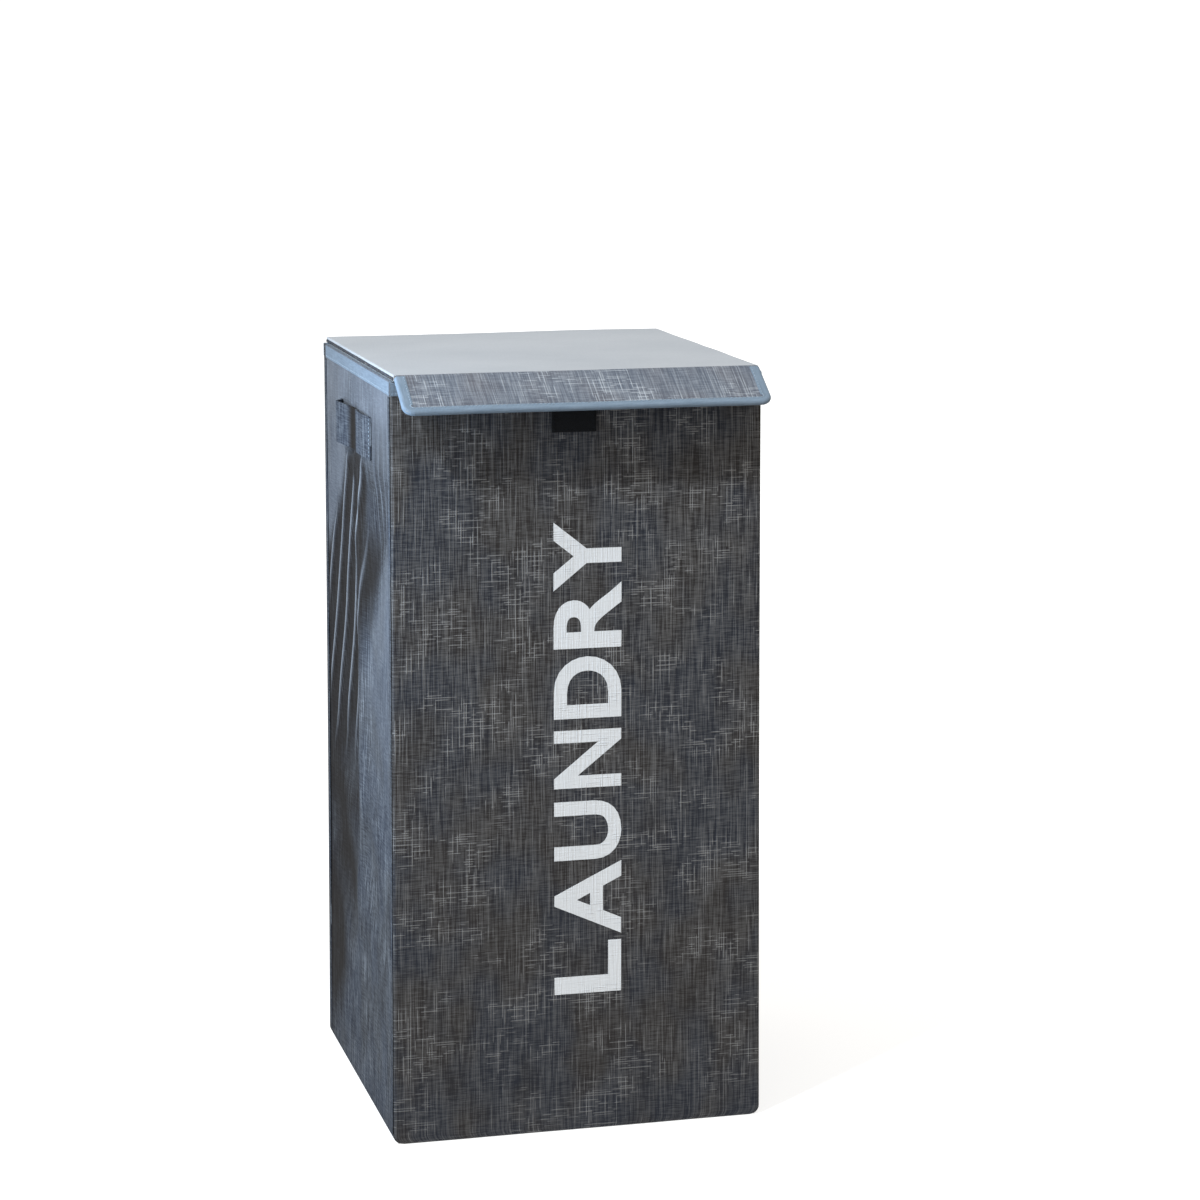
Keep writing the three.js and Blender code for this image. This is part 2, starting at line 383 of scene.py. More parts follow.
# Boards. Grey pulp board stiffens the panels, the gusset tops, the lid, the flap and the base.
# It is cut square, so its own solids stay and only take a fibrous finish.
board = Finish("grey_board", 0.95)
place = board.add("ShaderNodeTexCoord", {}, {}, output=3)
fibres = board.add("ShaderNodeTexNoise", {}, {"Vector": place, "Scale": 420.0, "Detail": 4.0})
clouds = board.add("ShaderNodeTexNoise", {}, {"Vector": place, "Scale": 22.0, "Detail": 3.0})
pulp = board.mix(fibres * 0.7 + clouds * 0.3, paint(148, 138, 122), paint(196, 188, 172))
grey_board = board.wear(pulp, fibres, 0.0002)
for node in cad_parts.values():
    if node.name.endswith("_board"):
        node.data.materials.clear()
        node.data.materials.append(grey_board)


# Linings. A pale non-woven cloth lies against the inside of every board. It is point-bonded,
# so it shows a fine dimple in place of a weave.
LINING_THICK = 0.7 * MM
dimpled = Finish("nonwoven_lining", 0.9, sheen=0.1)
across, up = dimpled.cloth_place()
dimple_place = dimpled.add("ShaderNodeCombineXYZ", {}, {0: across, 1: up, 2: 0.0})
dimple = dimpled.add("ShaderNodeTexVoronoi", {}, {"Vector": dimple_place, "Scale": 520.0,
                                                  "Randomness": 0.25})
felt = dimpled.noise(across / 0.0015, up / 0.004, 2.0, 3.0)
lining_colour = dimpled.mix(felt * 0.7 + dimple * 0.4, paint(188, 190, 194), paint(222, 223, 226))
lining_cloth = dimpled.wear(lining_colour, felt + dimple, 0.0002)
for wall, sign in (("front", 1), ("back", -1)):
    low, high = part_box(f"{wall}_lining")

    def lining_place(distance, height, low=low, high=high, sign=sign, wall=wall):
        ripple = 0.25 * MM * waver(distance * 14, height * 9, 6 + sign)
        inner = high.y if wall == "front" else low.y
        return low.x + distance, inner - sign * (0.3 * MM + ripple), low.z + height

    lining = cloth_panel(f"{wall}_panel_lining", stations(high.x - low.x, 30),
                         stations(high.z - low.z, 60), lining_place, (0, sign, 0), LINING_THICK)
    dress(lining, lining_cloth, wall, "lining", f"{wall}_lining")


# Back panel. It is made like the front, and its cloth wraps further, round the narrow corner
# strips that the gussets' rear seams are sewn to.
def back_bow(across, height):
    """The back's own bow, a little less than the front's."""
    return 0.8 * front_bow(-across + 0.7, height + 0.9)


strip_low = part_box("left_corner_strip")[0]
BACK_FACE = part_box("back_cloth")[1].y
back_columns, back_place = wrapped(BACK_FACE, BACK_FACE - strip_low.y - PANEL_TURN, back_bow)
back_panel = cloth_panel("back_panel_cloth", back_columns, panel_rows, back_place, (0, 1, 0))
dress(back_panel, charcoal_linen, "back", "linen", "back_cloth", "left_corner_strip", "right_corner_strip")


# Side gussets. Each is one soft cloth from corner to corner, stiffened at the rim only. Below
# that it sinks in on both sides of the crease, with loose slanting folds and a smooth foot.
GUSSET_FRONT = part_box("left_front_cloth")[0].y
GUSSET_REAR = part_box("left_rear_cloth")[1].y
GUSSET_DEPTH = GUSSET_REAR - GUSSET_FRONT
CREASE = (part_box("left_front_cloth")[1].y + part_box("left_rear_cloth")[0].y) / 2
CREASE_BACK = (CREASE - GUSSET_FRONT) / GUSSET_DEPTH
STIFF_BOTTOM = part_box("left_front_board")[0].z
LOOSE_TOP = 0.560
SAG = 7.5 * MM
HOLLOW_SAG = 3.0 * MM
FOLD_COUNT, FOLD_LEAN, FOLD_RISE = 9, 1.5, 2.8 * MM


def near_crease(back, reach):
    """1 on the crease, falling away on both sides over a share of the gusset's depth."""
    return math.exp(-((back - CREASE_BACK) / reach) ** 2)


def hollow_edge(height):
    """Where across the gusset the hollow starts, from 0 at the front to 1 at the rear."""
    fallen = min(1.0, max(0.0, (0.510 - height) / 0.130))
    ragged = 0.07 * waver(1.5, height * 14, 6)
    return 0.04 + 0.52 * fallen ** 0.7 + 0.32 * ease(0.15 - height, 0, 0.13) + ragged


def rear_patch(back, height):
    """The smooth cloth behind the folds, high on the rear side: 1 on it, 0 elsewhere."""
    limit = 0.68 + (LOOSE_TOP - height) * 3.2
    return ease(back, limit - 0.05, limit + 0.06)


def fold_ridge(back, height):
    """The loose folds: (how much of a fold there is, from 0 in its valley to 1 on its crest)."""
    sway = 0.22 * waver(back * 2, height * 5, 1)
    front_limit = 0.38 + (LOOSE_TOP - height) * 0.85
    bundle = ease(back, front_limit - 0.05, front_limit + 0.05) * (1 - rear_patch(back, height))
    bundle *= ease(height, 0.26, 0.36) * (1 - ease(height, LOOSE_TOP, STIFF_BOTTOM))
    bundle *= 1 - ease(back, 0.94, 1.0)
    phase = (back + (height - 0.4) * FOLD_LEAN) * FOLD_COUNT + sway
    near = 0.5 * ease(back, 0.02, 0.06) * (1 - ease(back, 0.26, 0.34))
    near *= ease(height, 0.46, 0.53) * (1 - ease(height, 0.595, 0.630))
    if near > bundle:
        bundle, phase = near, back * 13 + sway
    return bundle, 0.5 + 0.5 * math.cos(2 * math.pi * phase)


def sink(back, height, folded=True):
    """How far the gusset lies inside its flat plane, in metres. The lining has no folds."""
    bay = math.sin(math.pi * min(1, max(0, back))) ** 0.8
    trough = 0.555 - 0.43 * back
    bay *= 1 - 0.90 * near_crease(back, 0.06)
    depth = SAG * bay * (1 - ease(height, trough, STIFF_BOTTOM))
    depth *= ease(height, 0.01, trough + 0.10)
    depth += HOLLOW_SAG * ease(back, hollow_edge(height) - 0.05, hollow_edge(height) + 0.10) * (
        bay * ease(height, 0.10, 0.22) * (1 - ease(height, 0.54, STIFF_BOTTOM)))
    if not folded:
        return depth
    bundle, crest = fold_ridge(back, height)
    folds = FOLD_RISE * bundle * (0.2 - crest ** 4)
    slant = math.sin(60 * (height * 0.9 - back * GUSSET_DEPTH * 0.55))
    wrinkle = 1.6 * MM * slant * bay * ease(height, 0.08, 0.16) * (1 - ease(height, 0.26, 0.36))
    crumple = 1.3 * MM * bay * waver(back * 5, height * 13, 4)
    crumple *= ease(height, 0.0, 0.12) * (1 - ease(height, STIFF_BOTTOM - 0.01, STIFF_BOTTOM))
    loose = (folds + wrinkle + crumple) * (1 - 0.9 * near_crease(back, 0.022))
    return max(-2.0 * MM, depth + loose)


# The gusset has its own finish: painted light on the stiffened top, the rear patch, the front
# and the fold crests, and painted shade deep in the hollow, the fold valleys and the crease.
GUSSET = (paint(50, 53, 59), paint(146, 153, 162), paint(46, 54, 71), paint(55, 56, 61))
gusset_finish, _, gusset_colour, gusset_height = linen("gusset_linen", *GUSSET, crossing=0.15)
painted_light = gusset_finish.add("ShaderNodeAttribute", {"attribute_name": "painted_light"}, {}, output=2)
painted_shade = gusset_finish.add("ShaderNodeAttribute", {"attribute_name": "painted_shade"}, {}, output=2)
# Painted light mixes in a pale colour, and painted shade a dark brown.
gusset_colour = gusset_finish.mix(painted_light, gusset_colour, paint(148, 152, 160))
gusset_colour = gusset_finish.mix(painted_shade, gusset_colour, paint(36, 31, 27))
gusset_linen = gusset_finish.wear(gusset_colour, gusset_height, WEAVE_RELIEF)


def painted_shade_share(back, height):
    """How much painted shade the cloth gets: in the hollow, the fold valleys, the pinched crease and under
    the strap.
    """
    edge = hollow_edge(height)
    inside = ease(back, edge - 0.10, edge + 0.13) * (1 - rear_patch(back, height))
    inside *= 1 - 0.45 * ease(height, 0.475, 0.525)
    inside *= 1 - ease(height, 0.545, 0.590)
    bundle, crest = fold_ridge(back, height)
    low = 1 - ease(height, 0.26, 0.36)
    haze = (0.16 + 0.40 * low) * waver(back * 5, height * 17, 8)
    shade = inside * (0.88 - 0.26 * low + haze) * ease(height, 0.0, 0.05)
    shade += inside * 0.22 * ease(back, 0.68, 0.86) * (1 - ease(height, 0.24, 0.34))
    shade = max(min(shade, 0.84), 0.86 * bundle) * (1 - min(1, 1.15 * bundle) * crest ** 16)
    pinch = math.exp(-((back - 0.5) / 0.035) ** 2) * ease(height, 0.535, 0.560)
    pinch *= 1 - ease(height, 0.606, 0.616)
    narrow = 0.04 + 0.07 * ease(height, 0.540, 0.572)
    pocket = math.exp(-((back - 0.53) / narrow) ** 4 - ((height - LOOSE_TOP) / 0.018) ** 4)
    return min(0.88, max(0.0, shade, pinch * 0.9, pocket * 0.93))


def painted_light_share(back, height):
    """How much painted light the cloth gets: on the stiffened top, the rear patch, the front, the crests.
    """
    bundle, crest = fold_ridge(back, height)
    top = 0.36 * ease(height, 0.550, 0.585)
    behind = 0.34 * rear_patch(back, height) * ease(height, 0.43, 0.50)
    bright = 0.20 * (1 - ease(back, hollow_edge(height) - 0.12, hollow_edge(height) + 0.04))
    bright *= ease(height, 0.24, 0.40)
    cloud = 0.85 + 0.5 * waver(back * 5, height * 17, 12)
    return min(1.0, max(0.0, max(top, behind, bright) * cloud, 0.9 * bundle * crest ** 24))


# A narrow strip covers each corner seam. The right front corner has none,
# since no joint joins its two walls. The right gusset gets less painted shade than the left.
GUSSET_FOOT, LINING_FOOT = 1.1 * MM, 5.5 * MM
LINING_INSET, BOARD_ROOM = 2.9 * MM, 0.9 * MM
SEAM_FOOT, SEAM_TOP = 9 * MM, 13 * MM
SEAM_ON_WALL, SEAM_ON_GUSSET = 3.0 * MM, 4.0 * MM
SEAM_OUT = 0.75 * MM
RIGHT_PAINTED_SHADE = 0.55
gusset_columns = stations(GUSSET_DEPTH, 150, [GUSSET_REAR - CREASE + k * MM
                                             for k in (-2, -1.2, -0.5, 0, 0.5, 1.2, 2)])
gusset_rows = stations(RIM - GUSSET_FOOT, 190)
for side, sign in (("left", -1), ("right", 1)):
    for layer in ("cloth", "lining"):
        outside = layer == "cloth"
        foot = GUSSET_FOOT if outside else LINING_FOOT

        def gusset_place(distance, row, sign=sign, outside=outside, foot=foot):
            height = foot + row * (RIM - foot) / (RIM - GUSSET_FOOT)
            back = 1 - distance / GUSSET_DEPTH
            reach = half_width(height) - sink(back, height, outside)
            if not outside:
                stiff = ease(height, 0.50, STIFF_BOTTOM)
                give = (0.65 - 0.36 * stiff) * near_crease(back, 0.030 - 0.020 * stiff)
                reach -= (LINING_INSET + BOARD_ROOM * stiff) * (1 - give)
            return sign * reach, GUSSET_REAR - distance, height

        gusset = cloth_panel(f"{side}_gusset_{layer}", gusset_columns, gusset_rows, gusset_place,
                             (sign if outside else -sign, 0, 0),
                             CLOTH_THICK if outside else LINING_THICK)
        if outside:
            spots = [((vertex.co.y - GUSSET_FRONT) / GUSSET_DEPTH, vertex.co.z)
                     for vertex in gusset.data.vertices]
            # Each point keeps its share of painted shade and of painted light.
            for name, share in (("painted_shade", painted_shade_share), ("painted_light", painted_light_share)):
                values = gusset.data.attributes.new(name, "FLOAT", "POINT")
                strength = RIGHT_PAINTED_SHADE if side == "right" and name == "painted_shade" else 1
                for spot, entry in zip(spots, values.data):
                    entry.value = strength * share(*spot)
        gusset.data.materials.append(gusset_linen if outside else lining_cloth)
        for wall, half, corner in (("back", "rear", GUSSET_REAR), ("front", "front", GUSSET_FRONT)):
            if not outside or (side, wall) == ("right", "front"):
                continue
            to_wall = 1 if wall == "back" else -1

            def seam_place(distance, row, sign=sign, corner=corner, to_wall=to_wall):
                height = row + SEAM_FOOT
                return (sign * (half_width(height) + SEAM_OUT),
                        corner + to_wall * (SEAM_ON_WALL - distance), height)

            seam = cloth_panel(f"{side}_{half}_corner_seam",
                               stations(SEAM_ON_WALL + SEAM_ON_GUSSET, 14),
                               stations(RIM - SEAM_TOP - SEAM_FOOT, 70), seam_place,
                               (sign, 0, 0), 0.5 * MM)
            seam.data.materials.append(gusset_linen)
            if wall == "back":
                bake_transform(seam)
            else:
                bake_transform(seam)
        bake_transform(gusset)
        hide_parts(f"{side}_rear_{layer}", f"{side}_front_{layer}")


# Rim bindings. A woven tape is folded over the top edge of each wall, one length to a panel and
# one to each gusset half, and sewn through with a single row of stitches.
TAPE_FALL = 12 * MM
TAPE_THICK = 0.5 * MM
TAPE_ROOM = 0.25 * MM
STITCH_EVERY = 3.6 * MM
STITCH_SIZE = (0.28 * MM, 0.28 * MM, 1.2 * MM)


def woven_tape(name, dark, light):
    tape = Finish(name, 0.7, sheen=0.05)
    across, up = tape.cloth_place()
    rib = (up / 0.0011).maths("SINE", up / 0.0011 * 6.283)
    streak = tape.noise(across / 0.0012, up / 0.010, 2.5, 2.0)
    fade = tape.noise(across / 0.006, up / 0.030, 5.5, 2.0)
    share = tape.add("ShaderNodeClamp", {}, {"Value": rib * 0.12 + streak * 0.6 + fade * 0.4})
    return tape.wear(tape.mix(share, dark, light), rib * 0.3 + streak, 0.0002)


rim_tape = woven_tape("rim_tape", paint(92, 104, 117), paint(150, 165, 181))
flap_tape = woven_tape("flap_tape", paint(100, 118, 136), paint(154, 172, 191))


def sewing_thread(name, roughness, sheen, dark, light):
    thread = Finish(name, roughness, sheen)
    twist = thread.add("ShaderNodeTexCoord", {}, {}, output=3)
    strand = thread.add("ShaderNodeTexNoise", {}, {"Vector": twist, "Scale": 900.0})
    return thread.wear(thread.mix(strand, dark, light), strand, 0.0001)


blue_thread = sewing_thread("sewing_thread", 0.6, 0.1, paint(120, 140, 158), paint(196, 210, 222))


def stitch_row(name, points, body, slot="tape", finish=blue_thread):
    """Stitches lying along a line, one to each (place, direction)."""
    mesh = bmesh.new()
    for spot, way in points:
        made = bmesh.ops.create_uvsphere(mesh, u_segments=6, v_segments=4, radius=1)["verts"]
        bmesh.ops.scale(mesh, vec=STITCH_SIZE, verts=made)
        bmesh.ops.rotate(mesh, matrix=Vector(way).to_track_quat("Z", "Y").to_matrix(), verts=made)
        bmesh.ops.translate(mesh, vec=Vector(spot), verts=made)
    for face in mesh.faces:
        face.smooth = True
    dress(finished(mesh, name), finish, body, slot)


def folded_tape(name, start, end, outward, wall, body, nodes, room=TAPE_ROOM):
    """Tape over the edge from start to end, points on the outer face at the rim."""
    start, end, outward = Vector(start), Vector(end), Vector(outward)
    length, way = (end - start).length, (end - start).normalized()
    radius = wall / 2 + room
    straight = TAPE_FALL - radius
    girth = 2 * straight + math.pi * radius
    middle = -outward * wall / 2

    def place(distance, along):
        wave = 0.18 * MM * waver(along * 40, distance * 60, start.x * 9)
        spot = start + way * along + middle
        if distance < straight:
            return spot + outward * (radius + wave) + Vector((0, 0, distance - TAPE_FALL))
        if distance > girth - straight:
            drop = distance - (girth - straight) + radius
            return spot - outward * (radius + wave) + Vector((0, 0, -drop))
        angle = (distance - straight) / radius
        return (spot + outward * math.cos(angle) * radius
                + Vector((0, 0, math.sin(angle) * radius - radius)))

    rows = stations(length, max(8, int(length / (6 * MM))))
    turn = [straight + math.pi * radius * k / 8 for k in range(9)]
    piece = cloth_panel(name, stations(girth, 10, turn), rows, place, (0, 0, 1), TAPE_THICK)
    dress(piece, rim_tape, body, "tape", *nodes)
    spots = [(start + way * (k * STITCH_EVERY + 2 * MM) + middle + outward * (radius + 0.05 * MM)
              + Vector((0, 0, -TAPE_FALL + 1.8 * MM)), way)
             for k in range(int((length - 3 * MM) / STITCH_EVERY))]
    stitch_row(f"{name}_stitches", spots, body)


for wall, sign in (("front", -1), ("back", 1)):
    low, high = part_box(f"{wall}_rim_tape")
    face = low.y if sign < 0 else high.y
    folded_tape(f"{wall}_rim_binding", (low.x, face, high.z), (high.x, face, high.z),
                (0, sign, 0), high.y - low.y, wall, [f"{wall}_rim_tape"], 0.35 * MM)
for side, sign in (("left", -1), ("right", 1)):
    for half in ("front", "rear"):
        low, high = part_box(f"{side}_{half}_rim_tape")
        face = low.x if sign < 0 else high.x
        corner_room = 0.8 * MM if half == "front" else 0
        folded_tape(f"{side}_{half}_rim_binding",
                    (face, low.y + corner_room, high.z), (face, high.y, high.z),
                    (sign, 0, 0), high.x - low.x, f"{side}_{half}", [f"{side}_{half}_rim_tape"])


# Carrying straps. A doubled strip of the body's cloth is sewn flat at both ends, bows off the
# gusset in between, and is pinched in where the gusset creases.
STRAP_PINCH, PINCH_BEHIND = 12 * MM, 6 * MM
for side, sign in (("left", -1), ("right", 1)):
    low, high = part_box(f"{side}_carry_strap")
    length = high.y - low.y

    def strap_place(distance, height, low=low, high=high, sign=sign, length=length):
        along = high.y - distance
        edge = 0.5 * MM * math.sin(distance * 70)
        if along > CREASE:
            run = (along - CREASE) / (high.y - CREASE)
            free = ease(run, 0.02, 0.72) * (1 - ease(run, 0.76, 0.92))
            stand = 7.0 * MM * free
        else:
            run = (CREASE - along) / (CREASE - low.y)
            stand = 2.6 * MM * ease(run, 0.03, 0.35) * (1 - ease(run, 0.60, 0.90))
        reach = HALF_WIDTH + 1.6 * MM + stand
        return sign * reach, along, low.z + height + edge

    columns = stations(length, 44, [high.y - CREASE + k * MM for k in (-2, -1, 0, 1, 2)])
    strap = cloth_panel(f"{side}_strap", columns, stations(high.z - low.z, 12), strap_place,
                        (sign, 0, 0), 1.4 * MM)
    # Painted shade darkens the strap just behind the crease, where it is pinched in.
    shade = strap.data.attributes.new("painted_shade", "FLOAT", "POINT")
    for vertex, entry in zip(strap.data.vertices, shade.data):
        entry.value = 0.93 * math.exp(-(((vertex.co.y - CREASE - PINCH_BEHIND) / STRAP_PINCH) ** 4))
    strap.data.materials.append(gusset_linen)
    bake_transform(strap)
    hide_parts(f"{side}_carry_strap")
    for half, edge_y in (("rear", high.y - 4 * MM), ("front", low.y + 4 * MM)):
        spots = [((sign * (HALF_WIDTH + 1.75 * MM), edge_y, low.z + 3 * MM + k * 3.4 * MM),
                  (0, 0, 1)) for k in range(10)]
        stitch_row(f"{side}_strap_{half}_stitches", spots, f"{side}_{half}")


# Hook-and-loop patch on the front, under the flap: a black square with a short pile, sewn on
# round its border.
pile = Finish("black_pile", 0.95, sheen=0.25)
across, up = pile.cloth_place()
tuft = pile.noise(across / 0.0006, up / 0.0006, 1.0, 3.0)
pile_colour = pile.mix(tuft, paint(8, 9, 11), paint(38, 40, 44))
black_pile = pile.wear(pile_colour, tuft, 0.0006)
black_thread = sewing_thread("black_thread", 0.7, 0.0, paint(16, 17, 19), paint(46, 48, 52))
low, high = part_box("loop_patch")


def loop_place(distance, height):
    tufts = 0.22 * MM * waver(distance * 900, height * 900, 1)
    return low.x + distance, low.y + tufts, low.z + height


loop_patch = cloth_panel("loop_pile_patch", stations(high.x - low.x, 40),
                         stations(high.z - low.z, 40), loop_place, (0, -1, 0), 1.0 * MM)
dress(loop_patch, black_pile, "front", "hook_and_loop", "loop_patch")
border = []
for k in range(10):
    run = 3 * MM + k * 3.5 * MM
    for x, z, way in ((low.x + run, low.z + 2 * MM, (1, 0, 0)),
                      (low.x + run, high.z - 2 * MM, (1, 0, 0)),
                      (low.x + 2 * MM, low.z + run, (0, 0, 1)),
                      (high.x - 2 * MM, low.z + run, (0, 0, 1))):
        border.append(((x, low.y - 0.15 * MM, z), way))
stitch_row("loop_patch_stitches", border, "front", "hook_and_loop", black_thread)


# Printed word. A plain word for what the hamper holds is screen-printed in white up the front,
# in heavy capitals. The letters are cut into small faces, which follow the cloth's bow.
LETTER_RISE = 58.5 * MM
WORD_LEFT = -21.5 * MM
WORD_FOOT = 120 * MM
INK_LIFT = 0.15 * MM
INK_FACE = 7 * MM
letters = (("L", 121, 45.5), ("A", 172, 64), ("U", 238.5, 51), ("N", 301, 50),
           ("D", 361, 53), ("R", 421, 55.5), ("Y", 470.5, 58))
word = bmesh.new()
for letter, start, breadth in letters:
    curve = bpy.data.curves.new("letter", "FONT")
    curve.body = letter
    curve.offset = 0.028
    curve.resolution_u = 6
    holder = bpy.data.objects.new("letter", curve)
    bpy.context.scene.collection.objects.link(holder)
    bpy.context.view_layer.update()
    flat = holder.evaluated_get(bpy.context.evaluated_depsgraph_get()).to_mesh()
    glyph = bmesh.new()
    glyph.from_mesh(flat)
    xs = [v.co.x for v in glyph.verts]
    ys = [v.co.y for v in glyph.verts]
    for vertex in glyph.verts:
        along = (vertex.co.x - min(xs)) / (max(xs) - min(xs)) * breadth * MM
        rise = (vertex.co.y - min(ys)) / (max(ys) - min(ys)) * LETTER_RISE
        vertex.co = Vector((WORD_LEFT + LETTER_RISE - rise, 0, start * MM + along))
    shape = bpy.data.meshes.new("letter")
    glyph.to_mesh(shape)
    glyph.free()
    word.from_mesh(shape)
    bpy.data.objects.remove(holder)
for k in range(1, 60):
    every = word.verts[:] + word.edges[:] + word.faces[:]
    bmesh.ops.bisect_plane(word, geom=every, plane_co=(0, 0, WORD_FOOT + k * INK_FACE),
                           plane_no=(0, 0, 1))
for k in range(1, 9):
    every = word.verts[:] + word.edges[:] + word.faces[:]
    bmesh.ops.bisect_plane(word, geom=every, plane_co=(WORD_LEFT + k * INK_FACE, 0, 0),
                           plane_no=(1, 0, 0))
bmesh.ops.remove_doubles(word, verts=word.verts, dist=0.00002)
word_layer = word.loops.layers.uv.new("cloth")
for face in word.faces:
    face.smooth = False
    for loop in face.loops:
        loop[word_layer].uv = (loop.vert.co.x + front_columns[-1] / 2, loop.vert.co.z)
for vertex in word.verts:
    vertex.co.y = FRONT_FACE - front_bow(vertex.co.x, vertex.co.z) - INK_LIFT
word.normal_update()
bmesh.ops.reverse_faces(word, faces=[f for f in word.faces if f.normal.y > 0])
printed = finished(word, "printed_word")
ink_wall = printed.modifiers.new("wall", "SOLIDIFY")
ink_wall.thickness = 0.1 * MM
ink_wall.offset = -1
ink, ink_share, _, ink_height = linen("white_ink", *CHARCOAL)
ink_colour = ink.mix(ink_share * 0.55, paint(241, 244, 248), paint(212, 217, 224))
dress(printed, ink.wear(ink_colour, ink_height, 0.0002), "front", "pale_cloth")


# Bottom cloth and base. The bottom cloth joins the four walls at the foot, and a loose board
# lies on it in a pale cover whose edges turn down, with a pull tab at the front.
low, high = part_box("bottom_cloth")


def bottom_place(distance, run):
    return low.x + distance, low.y + run, high.z


bottom = cloth_panel("bottom_panel_cloth", stations(high.x - low.x, 24),
                     stations(high.y - low.y, 24), bottom_place, (0, 0, 1), CLOTH_THICK)
dress(bottom, charcoal_linen, "back", "linen", "bottom_cloth")
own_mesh(bottom)

cover_low, cover_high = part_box("base_cover")


def cover_place(distance, run):
    """Flat on the board, with 2 mm of turned edge all round."""
    x, y = cover_low.x + distance, cover_low.y + run
    rim = min(x - cover_low.x, cover_high.x - x, y - cover_low.y, cover_high.y - y)
    puff = 0.3 * MM * waver(x * 12, y * 12, 3)
    turn = 0.8 * MM * max(0.0, 1 - rim / (2 * MM)) ** 2
    return x, y, cover_high.z + puff * min(1, rim / 0.02) - turn


cover_edges = [k * MM for k in (0.5, 1, 2, 4)]
cover_size = (cover_high.x - cover_low.x, cover_high.y - cover_low.y)
columns, rows = [stations(size, 36, cover_edges + [size - e for e in cover_edges])
                 for size in cover_size]
base_cover = cloth_panel("base_cover_cloth", columns, rows, cover_place, (0, 0, 1), LINING_THICK)
dress(base_cover, lining_cloth, "base", "lining", "base_cover")

tab_low, tab_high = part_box("base_pull_tab")


def tab_place(distance, run):
    lift = 2.2 * MM * math.sin(math.pi * run / (tab_high.y - tab_low.y))
    return tab_low.x + distance, tab_low.y + run, tab_high.z + lift


pull_tab = cloth_panel("base_tab_loop", stations(tab_high.x - tab_low.x, 10),
                       stations(tab_high.y - tab_low.y, 16), tab_place, (0, 0, 1), 0.8 * MM)
dress(pull_tab, flap_tape, "base", "tape", "base_pull_tab")


# Lid. A board is covered above in plain pale cloth, coloured paler still as painted light from
# above, turned down at both sides, and lined below.
# A dark strip closes each side, and the right edge has lost its straightness a little in use.
LID_LOW, LID_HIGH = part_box("lid_cloth")
LINING_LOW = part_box("lid_lining")[0]
LID_TURN = 1.3 * MM
LID_FALL = 2.2 * MM
plain = Finish("pale_and_lit_cover", 0.82, sheen=0.12)
across, up = plain.cloth_place()
warp = plain.noise(across / 0.0009, up / 0.012, 5.0, 2.0)
weft = plain.noise(across / 0.012, up / 0.0009, 8.0, 2.0)
stain = plain.noise(across / 0.11, up / 0.09, 3.0, 3.0)
pale_share = plain.add("ShaderNodeClamp", {}, {"Value": warp * 0.5 + weft * 0.4
                                               + (stain - 0.5) * 0.9})
# These colours hold the cloth's own paleness and painted light from above.
pale_and_lit_colour = plain.mix(pale_share, paint(172, 178, 186), paint(196, 200, 206))
pale_and_lit_cover = plain.wear(pale_and_lit_colour, warp + weft, 0.0002)
lid_arc = LID_TURN * math.pi / 2
lid_half = LID_HIGH.x
lid_run = lid_half - LID_TURN + lid_arc + LID_FALL


def lid_place(distance, run):
    from_middle = distance - lid_run
    side, far = (1 if from_middle > 0 else -1), abs(from_middle)
    y = LID_LOW.y + run
    sway = (2.2 if side > 0 else 0.4) * MM * abs(waver(side * 5, y * 11, 7))
    flat_part = lid_half - LID_TURN
    dish = 0.7 * MM * waver(from_middle * 6, y * 6, 4)
    if far <= flat_part:
        share = (far / flat_part) ** 6
        return side * (far + sway * share), y, LID_HIGH.z + dish * (1 - share)
    angle = min(far - flat_part, lid_arc) / LID_TURN
    drop = max(0.0, far - flat_part - lid_arc)
    return (side * (flat_part + LID_TURN * math.sin(angle) + sway), y,
            LID_HIGH.z - LID_TURN * (1 - math.cos(angle)) - drop)


lid_bends = [lid_run - lid_half + LID_TURN - lid_arc * k / 5 for k in range(6)]
lid_cover = cloth_panel(
    "lid_cover_cloth", stations(2 * lid_run, 60, lid_bends + [2 * lid_run - b for b in lid_bends]),
    stations(LID_HIGH.y - LID_LOW.y, 60), lid_place, (0, 0, 1))
dress(lid_cover, pale_and_lit_cover, "lid", "pale_cloth", "lid_cloth")

LID_EDGE_OUT = 0.35 * MM
for side, sign in (("left", -1), ("right", 1)):

    def lid_edge_place(distance, rise, sign=sign):
        y = LID_LOW.y + 1 * MM + distance
        swell = 0.3 * MM * math.sin(math.pi * rise / LID_FALL)
        return sign * (lid_half + LID_EDGE_OUT + swell), y, LINING_LOW.z + 0.1 * MM + rise

    lid_edge = cloth_panel(f"lid_{side}_edge_wrap", stations(LID_HIGH.y - LID_LOW.y - 2 * MM, 50),
                           stations(LID_FALL + 0.6 * MM, 4), lid_edge_place, (sign, 0, 0),
                           0.3 * MM)
    dress(lid_edge, charcoal_linen, "lid", "linen")

inner_low, inner_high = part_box("lid_lining")


def lid_lining_place(distance, run):
    ripple = 0.2 * MM * waver(distance * 10, run * 10, 8)
    return inner_low.x + distance, inner_low.y + run, inner_low.z + abs(ripple)


lid_lining = cloth_panel("lid_inner_lining", stations(inner_high.x - inner_low.x, 30),
                         stations(inner_high.y - inner_low.y, 30), lid_lining_place, (0, 0, -1),
                         LINING_THICK)
dress(lid_lining, lining_cloth, "lid", "lining", "lid_lining")


# Lid hinge. A dark strip of the body's cloth is sewn to the back panel and to the lid's rear
# edge.
hinge_low, hinge_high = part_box("lid_hinge_cloth")
hinge_rise = hinge_high.z - hinge_low.z - 0.3 * MM


